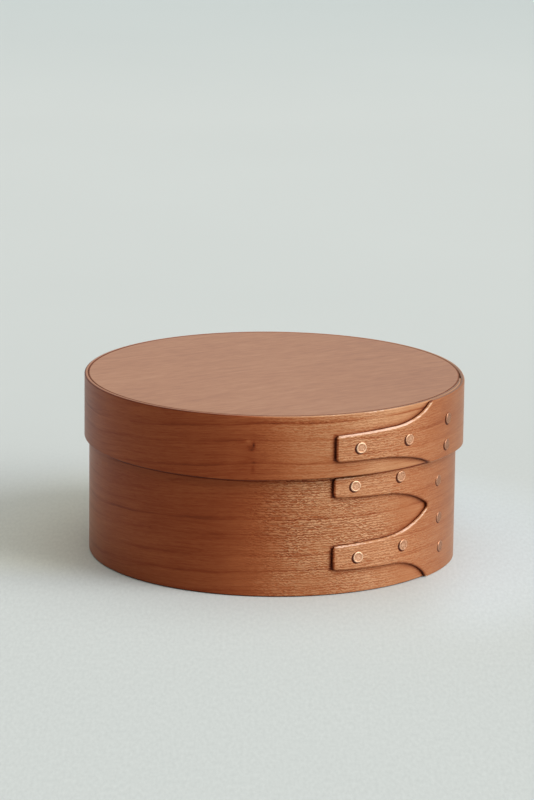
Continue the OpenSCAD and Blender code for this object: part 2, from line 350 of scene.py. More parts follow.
# an arch between fingers is (height of its middle, half its width, radius of its sides, angle of
# its point, taper of its straight part)
BODY.update(tip=BODY_TIP, arches=[
    (0, 10.3, 33, 55.8, 0.024), (32.5, 9.85, 57, 55.4, 0.046), (BODY["height"], 22.6, 50, 55.4, 0.046)])
LID.update(tip=18.4, arches=[(0, 7.8, 73, 53.4, 0.008), (LID["height"], 7.9, 45, 53.8, 0.046)])
RAMP_DROP = WALL / (2 * (1 - math.cos(math.radians(RAMP_END - RAMP_START) / 2)))
for name, band in (("body", BODY), ("lid", LID)):
    print("%s band: %.1f mm inside radius, %.1f mm high, from %.1f mm up" % (
        name, band["radius"], band["height"], band["lift"]))

# %% [markdown]
# ## The path that a strip is bent along
# A point of the flat strip is (s along it, z up, depth into the wood). Bending only moves it: the
# path below turns s into a direction and an arc's centre, and the depth is taken off the arc's
# radius. Wood at the outer face keeps its length, as it does in a steel bending strap. The inner
# layer gets thinner towards its end, so that the outer layer can come down over it. Two more
# things are shaped on the way: the lid's lower edge, planed at a slant over the lap, and the
# long edges, whose rounding is flatter than that of the fingers.

# %% Bending path
def towards(angle, distance):
    a = math.radians(angle)
    return Vector((distance * math.sin(a), -distance * math.cos(a), 0))


def path_arcs(band):
    """The strip's arcs in order: (first angle, last angle, centre, radius of the outer face)."""
    r = band["radius"]
    ramp_middle = (RAMP_START + RAMP_END) / 2
    before_tips = 0.5
    return [
        (band["tip"] - before_tips, RAMP_START, Vector((0, 0, 0)), r + 2 * WALL),
        (RAMP_START, ramp_middle, towards(RAMP_START, RAMP_DROP), r + 2 * WALL - RAMP_DROP),
        (ramp_middle, RAMP_END, towards(RAMP_END, -RAMP_DROP), r + WALL + RAMP_DROP),
        (RAMP_END, 360 + INNER_END, Vector((0, 0, 0)), r + WALL),
    ]


def along(band, angle):
    """How far along the strip, from the fingertips, its outer face points in that direction."""
    s = -(band["tip"] - path_arcs(band)[0][0]) * math.radians(1) * band["outside"]
    for first, last, centre, reach in path_arcs(band):
        s += (min(angle, last) - first) * math.radians(1) * reach
        if angle <= last:
            return s
    return s


def thinning(band, angle):
    """What is planed off the outer face of the inner layer's end, where the outer layer comes down."""
    under = angle - 360
    if under < band["tip"] + 1:
        return 0.0
    if under < RAMP_START:
        return CLEAR
    side = 1 if under < THIN_TURN else -1
    turned = math.radians(under - RAMP_START if side == 1 else RAMP_END - under)
    reach = band["radius"] + (WALL - RAMP_DROP if side == 1 else RAMP_DROP)
    left = side * RAMP_DROP * math.cos(turned) + math.sqrt(reach ** 2 - (RAMP_DROP * math.sin(turned)) ** 2)
    return CLEAR + band["radius"] + WALL - left


def planed_edge(angle):
    """How far the lid's lower edge was planed off at a slant, over the lap."""
    most, middle, half_span = 1.1, 40, 50
    run_out = math.cos(math.radians(half_span))
    return max(0.0, most * (math.cos(math.radians(angle - middle)) - run_out) / (1 - run_out))


ROUNDING = 0.95  # radius of the worn outer edges
LONG_EDGE = 0.5  # how high that rounding is on a long edge, as a share


def flatter_edge(z, height):
    """Heights near a long edge, drawn together so that its rounding is flatter than a finger's."""
    near = min(z, height - z)
    reach = 3.0
    if near > reach:
        return z
    flat = ROUNDING * LONG_EDGE
    moved = near * LONG_EDGE
    if near >= ROUNDING:
        moved = flat + (near - ROUNDING) * (reach - flat) / (reach - ROUNDING)
    return moved if z < height / 2 else height - moved


def bend(band, s, z, depth):
    """Where a point of the flat strip goes on the box."""
    start = along(band, path_arcs(band)[0][0])
    for first, last, centre, reach in path_arcs(band):
        angle = first + math.degrees((s - start) / reach)
        if angle <= last + 1e-6 or last > 360:
            break
        start += math.radians(last - first) * reach
    z = flatter_edge(z, band["height"])
    if band is LID:
        planing_fades = 7.0
        z += planed_edge(angle) * max(0.0, 1 - z / planing_fades)
    planed = thinning(band, angle)
    depth = planed + depth * (WALL - planed) / WALL
    place = centre + towards(angle, reach - SKIN - depth) + band["offset"]
    return Vector((place.x, place.y, band["lift"] + z))


for name, band in (("body", BODY), ("lid", LID)):
    band["length"] = along(band, 360 + INNER_END)
    thin = WALL - thinning(band, 360 + INNER_END)
    print("%s strip: %.0f mm long, inner end %.2f mm thick" % (name, band["length"], thin))

# %% [markdown]
# ## Drawing the fingers on the flat strip
# The fingers' outline is drawn like a line on paper: a point is extruded into a straight stroke,
# or spun about a centre into an arc. Between two fingers lies a pointed arch: a straight edge
# that tapers a little, an arc of 33 to 73 mm radius, and a small rounded point where the knife
# turned. The half arches run straight out at the strip's long edges.

# %% Strokes and outline
TIP_ROUND = 1.8  # radius of a finger's corners
APEX_ROUND = 1.8  # radius of the point of a whole arch
HALF_ARCH_ROUND = 0.4  # the same for an arch that is cut off by a long edge
SIDE_STEPS, APEX_STEPS, CORNER_STEPS = 20, 12, 5


def stroke(bm, pen, x, y):
    pen = bmesh.ops.extrude_vert_indiv(bm, verts=[pen])["verts"][0]
    pen.co = Vector((x, y, 0))
    return pen


def arc(bm, pen, x, y, degrees, steps):
    spun = bmesh.ops.spin(bm, geom=[pen], cent=(x, y, 0), axis=(0, 0, 1), angle=math.radians(degrees),
                          steps=steps)
    return [part for part in spun["geom_last"] if isinstance(part, bmesh.types.BMVert)][0]


def arch_shape(band, arch):
    """Where an arch has its point and its shoulder along the strip, and the angle where its arcs meet."""
    middle, half, reach, root, taper = arch
    rounding = APEX_ROUND if 0 < middle < band["height"] else HALF_ARCH_ROUND
    point = math.radians(root - band["tip"]) * band["outside"]
    run = math.sqrt((reach - rounding) ** 2 - (reach - half) ** 2)
    return point, point - rounding - run, math.degrees(math.atan2(reach - half, run))


def draw_outline(bm, band):
    """Draws the strip's outline from its lower inner end round the fingers, and fills it."""
    length, height = band["length"], band["height"]
    pen = first = bm.verts.new((length, 0, 0))
    for arch in band["arches"]:
        middle, half, reach, root, taper = arch
        point, shoulder, meet = arch_shape(band, arch)
        tip_edge = half + taper * (shoulder - TIP_ROUND)
        whole = 0 < middle < height
        run_out = math.sqrt(reach ** 2 - (reach - half) ** 2)
        sweep = 90 - meet if whole else math.degrees(math.asin(run_out / reach))
        if middle > 0:
            pen = stroke(bm, pen, TIP_ROUND, middle - tip_edge)
            pen = stroke(bm, pen, shoulder, middle - half)
            pen = arc(bm, pen, shoulder, middle - half + reach, sweep, SIDE_STEPS)
        if whole:
            pen = arc(bm, pen, point - APEX_ROUND, middle, 2 * meet, APEX_STEPS)
        if middle == 0:
            pen = stroke(bm, pen, shoulder + run_out, 0)
        if middle < height:
            pen = arc(bm, pen, shoulder, middle + half - reach, sweep, SIDE_STEPS)
            pen = stroke(bm, pen, TIP_ROUND, middle + tip_edge)
            pen = arc(bm, pen, TIP_ROUND, middle + tip_edge + TIP_ROUND, -90, CORNER_STEPS)
            above = band["arches"][band["arches"].index(arch) + 1]
            next_edge = above[1] + above[4] * (arch_shape(band, above)[1] - TIP_ROUND)
            pen = stroke(bm, pen, 0, above[0] - next_edge - TIP_ROUND)
            pen = arc(bm, pen, TIP_ROUND, above[0] - next_edge - TIP_ROUND, -90, CORNER_STEPS)
    pen = stroke(bm, pen, length, height)
    bmesh.ops.contextual_create(bm, geom=[pen, first])
    bmesh.ops.remove_doubles(bm, verts=bm.verts, dist=0.001)
    return bmesh.ops.contextual_create(bm, geom=bm.edges[:])["faces"]


test = bmesh.new()
draw_outline(test, BODY)
print("body outline: %d strokes, %d face(s)" % (len(test.edges), len(test.faces)))
test.free()

# %% [markdown]
# ## Where the tacks go
# Two tacks sit near the middle line of each finger, and a column of them holds the lap behind
# the fingers. They were placed by eye and hand, so none is quite on its line, and those of the
# body's column were driven a little deeper, the one that the lid covers most of all. The places
# come first, before the wood is finished, because copper darkens the wood round each head.

# %% Places of the tacks
HEAD = 4.9  # diameter of a head


def finger_middle(band, below, above):
    """Height of the middle line of the finger between two arches, at its tip."""
    low, high = band["arches"][below], band["arches"][above]
    low_edge = low[0] + low[1] + low[4] * arch_shape(band, low)[1]
    high_edge = high[0] - high[1] - high[4] * arch_shape(band, high)[1]
    return (low_edge + high_edge) / 2


upper_z = finger_middle(BODY, 1, 2)
lower_z = finger_middle(BODY, 0, 1)
lid_z = finger_middle(LID, 0, 1)
print("middles of the fingers: %.1f and %.1f mm up the body, %.1f up the lid" % (lower_z, upper_z, lid_z))

# each tack is (angle, height on its strip, how far it is sunk into the wood)
tacks = {
    "upper_finger_tacks": ("box", BODY, [(25.8, upper_z + 0.4, 0.0), (42.4, upper_z + 1.5, 0.0)]),
    "lower_finger_tacks": ("box", BODY, [(27.0, lower_z - 0.1, 0.0), (43.8, lower_z + 1.7, 0.0)]),
    "body_seam_tacks": ("box", BODY, [
        (63.8, 11.3, 0.16), (62.6, 24.9, 0.16), (61.7, 41.9, 0.16), (62.4, 60.0, 0.36)]),
    "lid_finger_tacks": ("lid", LID, [(26.1, lid_z, 0.0), (43.2, lid_z + 0.4, 0.0)]),
    "lid_seam_tacks": ("lid", LID, [(62.0, 6.6, 0.0), (62.7, 18.1, 0.0)]),
}

# %% [markdown]
# ## From outline to flat board
# The outline gets its thickness by extrusion, its edges are bevelled round, and a narrow inset
# along the rounding keeps the soft shading close to the edge. The maker's next tool is the steam
# box. In the mesh, the wood can only bend where it has edges, so the flat board is sawn across
# with cutting planes, a few millimetres apart, without taking it apart.

# %% Shape the boards
INNER_ROUNDING = 0.3
ROW_HEIGHT = 7


def thicken(bm, faces, thickness):
    """Raises a copy of flat faces and joins the two with walls."""
    raised = bmesh.ops.extrude_face_region(bm, geom=faces, use_keep_orig=True)["geom"]
    raised = [part for part in raised if isinstance(part, bmesh.types.BMVert)]
    bmesh.ops.translate(bm, verts=raised, vec=(0, 0, thickness))
    bmesh.ops.recalc_face_normals(bm, faces=bm.faces)


def round_rim(bm, level, offset, segments):
    """Rounds the edges that lie at one level."""
    rim = [e for e in bm.edges if all(abs(v.co.z - level) < 1e-4 for v in e.verts)]
    bmesh.ops.bevel(bm, geom=rim, offset=offset, offset_type="OFFSET", segments=segments, profile=0.5,
                    affect="EDGES", clamp_overlap=False, material=-1)


def inset(bm, face, thickness, depth=0.0):
    bmesh.ops.inset_region(bm, faces=[face], thickness=thickness, depth=depth, use_even_offset=True)


def broad_faces(bm):
    return sorted(bm.faces, key=lambda f: -f.calc_area())[:2]


def saw(bm, place, across):
    everything = bm.verts[:] + bm.edges[:] + bm.faces[:]
    bmesh.ops.bisect_plane(bm, geom=everything, dist=1e-5, plane_co=place, plane_no=across)


def shape_strip(band):
    bm = bmesh.new()
    thicken(bm, draw_outline(bm, band), -WALL)
    round_rim(bm, 0, ROUNDING, 4)
    round_rim(bm, -WALL, INNER_ROUNDING, 2)
    for face in broad_faces(bm):
        inset(bm, face, 0.35)
    lap_end = along(band, RAMP_END)
    cut_on_lap, cut_behind = 2.6, 3.2
    cuts = [i * cut_on_lap for i in range(1, int(lap_end / cut_on_lap))]
    cuts += [lap_end + i * cut_behind for i in range(int((band["length"] - lap_end - 1) / cut_behind))]
    for cut in cuts:
        saw(bm, (cut, 0, 0), (1, 0, 0))
    rows = round(band["height"] / ROW_HEIGHT)
    off_corners = 0.37
    for row in range(1, rows):
        saw(bm, (0, band["height"] * row / rows + off_corners, 0), (0, 1, 0))
    return bm


boards = {"body": shape_strip(BODY), "lid": shape_strip(LID)}
print("faces of the flat boards:", {name: len(board.faces) for name, board in boards.items()})

# %% [markdown]
# ## Bending, and fitting a piece
# Each point of the board stores its flat place and the way it faced before it is bent: the grain
# of the real strip was bent with it, and the finish needs both. A finished piece is smooth
# shaded, named, tied to the body that it moves with, and takes the place of a plain solid.

# %% Bend and fit
def bend_strip(bm, band):
    flat_place = bm.verts.layers.float_vector.new("strip")
    facing = bm.verts.layers.float_vector.new("facing")
    bm.normal_update()
    for v in bm.verts:
        v[flat_place] = v.co * MM
        v[facing] = v.normal
        v.co = bend(band, v.co.x, v.co.y, -v.co.z) * MM
    return bm


def finish_piece(bm, name, body, material, slot, *nodes):
    """Turns a bmesh in metres into a named piece that rides on a body and stands for plain solids."""
    for face in bm.faces:
        face.smooth = True
    mesh = bpy.data.meshes.new(name)
    bm.to_mesh(mesh)
    bm.free()
    piece = bpy.data.objects.new(name, mesh)
    bpy.context.scene.collection.objects.link(piece)
    mesh.materials.append(material)
    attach(piece, body)
    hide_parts(*nodes)
    print("%s: %d faces, %d loose edges" % (name, len(mesh.polygons), sum(e.is_loose for e in mesh.edges)))


print("the lid's finger will start at, mm:", [round(v, 1) for v in bend(LID, 0, lid_z, 0)])

# %% [markdown]
# ## Cherry wood on a strip
# The bands' colour is built from what the wood shows, from large to small. Each sign is a pattern
# stretched along the strip, and they add up to one number, the tone, which a ramp of cherry
# colours turns into the wood's colour. The first step gives a strip's patterns their places:
# where a point lies on the flat board, and where it lies in the grain, which wanders a little
# and climbs to the right over the left half of the box's front.

# %% Places on a strip
class StripWood(Finish):
    """Cherry for one strip: s runs along it, height up it and depth into it, in millimetres."""

    def __init__(self, name, band):
        super().__init__(name)
        self.band = band
        self.front = front = along(band, 360)
        self.mm = self.millimetres(self.attribute("strip"), inwards=-1)
        self.s, self.height, self.depth = self.parts(self.mm)
        self.left, self.upwards = self.parts(self.attribute("facing"))[:2]
        climbing = self.slope(self.s, front - 93, front - 8, -85 * band["climb"], 0.0, "LINEAR")
        wander = self.swing(self.unturned((60, 20, 9), 0), 3.2)
        shiver = self.swing(self.unturned((8, 4, 5), 3), 0.7)
        self.level = self.math("SUBTRACT", self.total(self.height, wander, shiver), climbing)
        self.grained = self.add("CombineXYZ", X=self.s, Y=self.level, Z=self.depth).outputs[0]

    def unturned(self, size, seed, detail=2.0, rough=0.5):
        """Noise that lies level on the strip."""
        return self.noise(self.mm, size, detail, rough, self.band["seed"] + seed)

    def in_grain(self, size, seed, detail=2.0, rough=0.5):
        """Noise that follows the grain."""
        return self.noise(self.grained, size, detail, rough, self.band["seed"] + seed)

    def along_strip(self, *stops):
        """A ramp whose stops are places along the strip."""
        return self.ramp_along(self.s, self.band["length"], stops)


print("front of the box at s = %.0f mm on the body, %.0f mm on the lid" % (along(BODY, 360), along(LID, 360)))

# %% [markdown]
# ## What each band shows
# The two strips come from different boards, so each has its own rings, zones and spots. The zones
# are partly the wood's own tone and mostly painted light: darker where the band turns away from the
# window, lighter where its light and sheen fall. Places of zones and spots are millimetres along
# the strip, on the lap from the fingertips, and on the front from the middle of the box's front.

# %% Signs of each band
sizes_so_far = set(BODY)
BODY.update(
    seed=5.0, climb=0.062, ripple=(1.05, 0.75), foot=-0.09, new_tips=0.5, groove=0.0,
    lap_zones=[(0, 0.19), (25, 0.19), (48, 0.07), (66, -0.02), (84, -0.06)],
    front_zones=[(-120, 0.0), (-97, -0.06), (-84, -0.13), (-50, -0.14), (-25, -0.13), (-6, -0.05), (10, 0.09),
                 (26, 0.13), (44, 0.16), (54, 0.125), (62, 0.07), (75, 0.08)],
    rings=[(3.0, 0.4, 1.2, 0.4), (11.1, 1.0, 1.6, 0.35), (18.3, 0.9, 1.6, 0.35), (22.6, 0.3, 1.0, 0.4),
           (27.3, 0.7, 1.6, 0.35), (34.3, 1.0, 1.8, 0.35), (39.2, 0.5, 1.2, 0.4), (45.5, 0.6, 1.4, 0.4),
           (55.0, 0.6, 1.6, 0.4), (66.0, 0.6, 1.6, 0.4)],
    spots=[],
)
LID.update(
    seed=40.0, climb=0.095, ripple=(0.45, 0.75), foot=-0.05, new_tips=0.0, groove=-0.5,
    lap_zones=[(0, 0.19), (25, 0.19), (48, 0.05), (66, -0.05), (84, -0.06)],
    front_zones=[(-130, -0.10), (-85, -0.10), (-50, -0.14), (-25, -0.13), (-6, -0.08), (10, 0.05), (26, 0.09),
                 (46, 0.20), (75, 0.19)],
    rings=[(1.2, 0.5, 1.0, 0.3), (3.6, 0.7, 0.9, 0.3), (5.4, 0.6, 0.8, 0.3), (8.1, 1.0, 1.4, 0.35),
           (13.4, 0.3, 1.0, 0.4), (18.3, 0.8, 1.6, 0.35), (25.3, 1.1, 1.6, 0.35)],
    spots=[(-8.3, 16.0, 0.6, 1.05, -0.32), (-9.6, 14.6, 1.9, 1.5, -0.15), (-9.0, 13.9, 0.9, 0.7, -0.16),
           (-10.6, 17.8, 1.3, 0.9, 0.14), (-8.2, 8.4, 0.8, 0.55, -0.14), (-8.6, 5.6, 0.9, 1.8, -0.10),
           (-12.0, 10.5, 3.5, 4.5, -0.03)],
)
print("signs of a band:", sorted(set(BODY) - sizes_so_far))

# %% [markdown]
# ## Year rings
# Year rings are contour lines. A saw cuts the trunk's shells at a low angle, as a map's level
# cuts a hill, so the fine rings come from a slow pattern that is cut at even steps: dark at one
# side of each step, and fading away from it. A few clear rings are drawn at the heights
# where this box has them. They are broken up along their length, and fainter on the lap.

# %% Rings
def contour_rings(wood, slow, steps):
    """Thin dark lines where a slow pattern passes from one step to the next."""
    step = wood.math("FRACT", wood.product(slow, steps))
    return wood.ramp(step, [(0.0, 0.8), (0.07, 0.35), (0.35, 0.0), (0.94, 0.0), (1.0, 0.8)])


def drawn_rings(wood):
    """The band's own rings, each (height, darkness, how far it fades upwards, and downwards)."""
    stops = [(0.0, 0.0)]
    for at, darkness, upwards, downwards in wood.band["rings"]:
        stops += [(at - downwards, 0.0), (at, darkness), (at + upwards, 0.0)]
    return wood.ramp_along(wood.level, wood.band["height"], stops)


def year_rings(wood):
    s, front = wood.s, wood.front
    thinner = wood.slope(s, front - 12, front + 12, 1.0, 2.6, "LINEAR")
    drawn = wood.math("POWER", drawn_rings(wood), thinner)
    broken = wood.ramp(wood.in_grain((24, 3.0, 6), 7), [(0.38, 0.25), (0.60, 1.0)])
    broken = wood.most(broken, wood.product(wood.between(s, front - 6, front + 34, 9), 0.7))
    clear = wood.along_strip((48, 0.16), (70, 0.03), (125, 0.13), (front - 10, 0.13), (front + 15, 0.38))
    fine = contour_rings(wood, wood.in_grain((120, 9, 12), 9, 1, 0.4), 9)
    faint = wood.ramp(wood.in_grain((30, 4.0, 6), 10), [(0.40, 0.1), (0.62, 1.0)])
    faint = wood.product(faint, wood.rest(wood.between(s, 62, 112, 12)))
    return wood.total(wood.product(drawn, broken, clear), wood.product(fine, faint, 0.07))


print("clear rings: %d on the body, %d on the lid" % (len(BODY["rings"]), len(LID["rings"])))

# %% [markdown]
# ## Ripple
# On the right half of the front and on the fingers the grain waves in and out, and the light
# catches each wave: a fine figure like fish scales. It is a wave of the level in the grain, about
# 1.2 mm from crest to crest, pushed out of step by noise until it breaks into scales. The same
# wave gives the tone its light and dark and the surface its relief.

# %% Ripple
CREST_TO_CREST = 1.15  # from one wave to the next, across the grain


def low_down(wood):
    return wood.below(wood.height, 13, 5)


def ripple(wood):
    """The wave, from -1 to 1, times its strength at each place."""
    s, front = wood.s, wood.front
    on_layer, on_fingers = wood.band["ripple"]
    on_layer = wood.product(wood.rest(wood.product(low_down(wood), 0.35)), on_layer)
    strength = wood.most(wood.product(wood.between(s, front - 4, front + 58, 15), on_layer),
                         wood.product(wood.below(s, 45, 35), on_fingers))
    patchy = wood.ramp(wood.unturned((13, 8, 9), 29), [(0.34, 0.55), (0.60, 1.0)])
    out_of_step = wood.swing(wood.unturned((2.0, 0.9, 2), 22, 1), 12.5)
    wave = wood.math("SINE", wood.total(wood.product(wood.level, 2 * math.pi / CREST_TO_CREST), out_of_step))
    return wood.product(wave, wood.product(strength, patchy))


print("waves across the body's band: %.0f" % (BODY["height"] / CREST_TO_CREST))

# %% [markdown]
# ## Knots, stains and painted shadows
# A small pin knot and a few dark flecks are ragged round spots. The copper has darkened the wood
# in a thin ring round each head, and a painted shadow of the head lies at its lower left. A painted
# shadow also lies on the inner layer just left of each fingertip, but not in the open arches between.

# %% Spots, stains and painted shadows
def spot(wood, x, y, half_length, half_height):
    """A ragged round spot of the strip: 1 in the middle, 0 beyond twice its half size."""
    ragged = 0.5
    centred = wood.add("Mapping", i0=wood.mm, Location=(-x / half_length, -y / half_height, 0),
                       Scale=(1 / half_length, 1 / half_height, 0)).outputs[0]
    frayed = wood.add("TexNoise", Vector=centred, Scale=1.1, Detail=2.0).outputs["Color"]
    frayed = wood.vector("MULTIPLY_ADD", frayed, (ragged, ragged, 0), centred)
    frayed = wood.vector("SUBTRACT", frayed, (ragged / 2, ragged / 2, 0))
    away = wood.product(wood.vector("LENGTH", frayed), 0.5)
    return wood.ramp(away, [(0.2, 1.0), (0.5, 0.3), (1.0, 0.0)])


def from_heads(wood, aside=(0, 0)):
    """Distance on the strip to the nearest head's middle, or to a point beside it."""
    flat = wood.vector("MULTIPLY", wood.mm, (1, 1, 0))
    nearest = 100.0
    for body, band, places in tacks.values():
        for angle, z, sunk in places if band is wood.band else []:
            middle = (along(band, angle) + aside[0], z + aside[1], 0)
            away = wood.total(wood.vector("DISTANCE", flat, middle), 2 * sunk)
            nearest = wood.math("MINIMUM", away, nearest)
    return nearest


def tack_stain_and_shadow(wood):
    ring = wood.below(from_heads(wood), HEAD / 2 + 0.45, 0.35)
    # the ring shifted to the lower left is a painted shadow of the head; the thin even ring is the copper's
    # stain
    dent = wood.below(from_heads(wood, (-0.65, -0.32)), HEAD / 2 + 0.12, 0.12)
    return wood.total(wood.product(ring, 0.05), wood.product(dent, 0.8))


# a painted shadow on the inner layer just left of each fingertip
def fingertip_painted_shadow(wood):
    arches = wood.band["arches"]
    foot = along(wood.band, 360 + wood.band["tip"])
    low, high = arches[0], arches[-1]
    fingers = wood.between(wood.height, low[0] + low[1] + 0.6, high[0] - high[1] - 0.6, 0.3)
    for middle, half, *others in arches[1:-1]:
        open_arch = wood.between(wood.height, middle - half - 0.8, middle + half + 0.8, 0.3)
        fingers = wood.math("SUBTRACT", fingers, open_arch)
    return wood.product(wood.between(wood.s, foot - 0.9, foot + 1, 0.7), fingers)


print("stains round", sum(len(places) for body, band, places in tacks.values()), "tacks")

# %% [markdown]
# ## Painted highlights and shade on the edges
# Edges that face up get a painted highlight, the fingers' most. The long edges get it only at the
# right of the front, farther left their rounded corner gets painted shade, and the lap's lower edges
# get a pale painted highlight. Walls that face the tips and edges that face down get painted shade,
# and so do corners, which Ambient Occlusion finds: it asks how much of the space above a point is
# free. The tips' end grain is darker. The wood that the lid covers has seen less light and is a
# little paler, also as painted light on the soft shade just below the lid's edge, and a painted
# shadow line lies where the lid's edge sits.

# %% Painted highlights and shade
def edge_light_and_shade(wood):
    band, s, front, depth = wood.band, wood.s, wood.front, wood.depth
    left = wood.ramp(wood.product(wood.left, -1.0), [(0.15, 0.0), (0.6, 1.0)])
    top = wood.ramp(wood.upwards, [(0.15, 0.0), (0.55, 1.0)])
    edge = wood.between(depth, 0.04, 1.1, 0.04)
    inside = wood.between(wood.height, 1.2, band["height"] - 1.2, 0.3)
    long_edge = wood.rest(inside)

    # painted highlight on edges that face up: on the fingers, and on the long edges only at the right of the
    # front
    highlight_share = wood.most(wood.below(s, along(band, RAMP_END), 5), wood.above(s, front + 2, 25))
    highlight_share = wood.product(wood.total(0.1, wood.product(highlight_share, 0.9)), inside)
    highlight_share = wood.total(highlight_share, wood.product(long_edge, 0.42, wood.between(s, front - 8, front + 62, 10)))
    highlight_share = wood.product(highlight_share, wood.rest(wood.product(wood.between(s, -5, 32, 8), band["new_tips"])))
    highlight_breakup = wood.ramp(wood.unturned((6, 2, 2), 37), [(0.35, 0.7), (0.65, 1.0)])
    painted_highlight = wood.product(wood.product(edge, highlight_breakup), wood.product(top, highlight_share))
    # painted shade on the rounded corner of the long edges, left of the front
    shaded_corner = wood.product(long_edge, wood.between(s, front - 260, front - 14, 12))
    shaded_corner = wood.product(wood.between(wood.upwards, 0.2, 0.9, 0.08), shaded_corner)

    shaded = wood.product(edge, wood.math("MINIMUM", wood.upwards, 0.0))
    # on the lap's lower edges the painted shade turns into a pale painted highlight
    lit_lap_foot = wood.product(long_edge, wood.between(s, 50, 128, 8))
    shade_depth = wood.total(0.9, wood.product(inside, -0.76), wood.product(lit_lap_foot, -2.0))
    # painted shade on walls that face left, away from the window
    left_wall_shade = wood.product(wood.above(depth, 0.5, 0.2), left)
    # painted shade in corners, found by Ambient Occlusion; darker still in the lid's groove
    corner = wood.add("AmbientOcclusion", {"samples": 6, "only_local": True}, Distance=0.0028).outputs["AO"]
    corner = wood.product(wood.ramp(corner, [(0.45, 1.0), (0.95, 0.0)]), wood.rest(wood.product(top, 0.7)))
    corner_shade_depth = wood.total(-0.5, wood.product(wood.between(s, front + 44, front + 86, 6), band["groove"]))
    return wood.total(
        wood.product(painted_highlight, 0.5), wood.product(shaded_corner, -0.26), wood.product(shaded, shade_depth),
        # the tips' end grain is darker, widened as painted shade at the tips' left
        wood.product(wood.below(s, 0.9, 0.4), -0.3), wood.product(left_wall_shade, -0.42),
        wood.product(corner, corner_shade_depth), wood.product(fingertip_painted_shadow(wood), -0.34))


def under_lid_tone_and_shadow(wood):
    """Tone of the body's outer face under the lid, with a painted shadow line at the lid's edge."""
    slant = [(along(BODY, angle), planed_edge(angle)) for angle in range(20, 91, 10)]
    slant = wood.ramp_along(wood.s, 120, slant)
    under = wood.math("SUBTRACT", wood.math("SUBTRACT", wood.height, slant), LID["lift"])
    # a painted shadow line along the lid's lower edge
    shadow_line = wood.total(wood.product(wood.between(wood.s, 50, 128, 8), -0.20), -0.30)
    shadow_line = wood.product(wood.between(under, -1.1, -0.1, 0.25), shadow_line)
    # paler: partly wood that saw less light, partly painted light on the soft shade just below the lid's edge
    paler = wood.product(wood.above(under, -0.6, 1.6), 0.10)
    return wood.product(wood.total(paler, shadow_line), wood.below(wood.depth, 0.8, 0.1))


print("the lid's lower edge is planed by up to %.1f mm" % max(planed_edge(angle) for angle in range(90)))

# %% [markdown]
# ## Cherry for the bands
# Now the signs come together. Broad zones are written down along the strip, partly the wood's own
# tone and mostly painted light: darker and redder on the left that faces away from the window,
# paler where its light falls, and greyer at the right as a painted sheen. Streaks, fibres and short
# dark pores fill in the rest. The upper rim shows sawn wood like the disc's, darker on the lap.

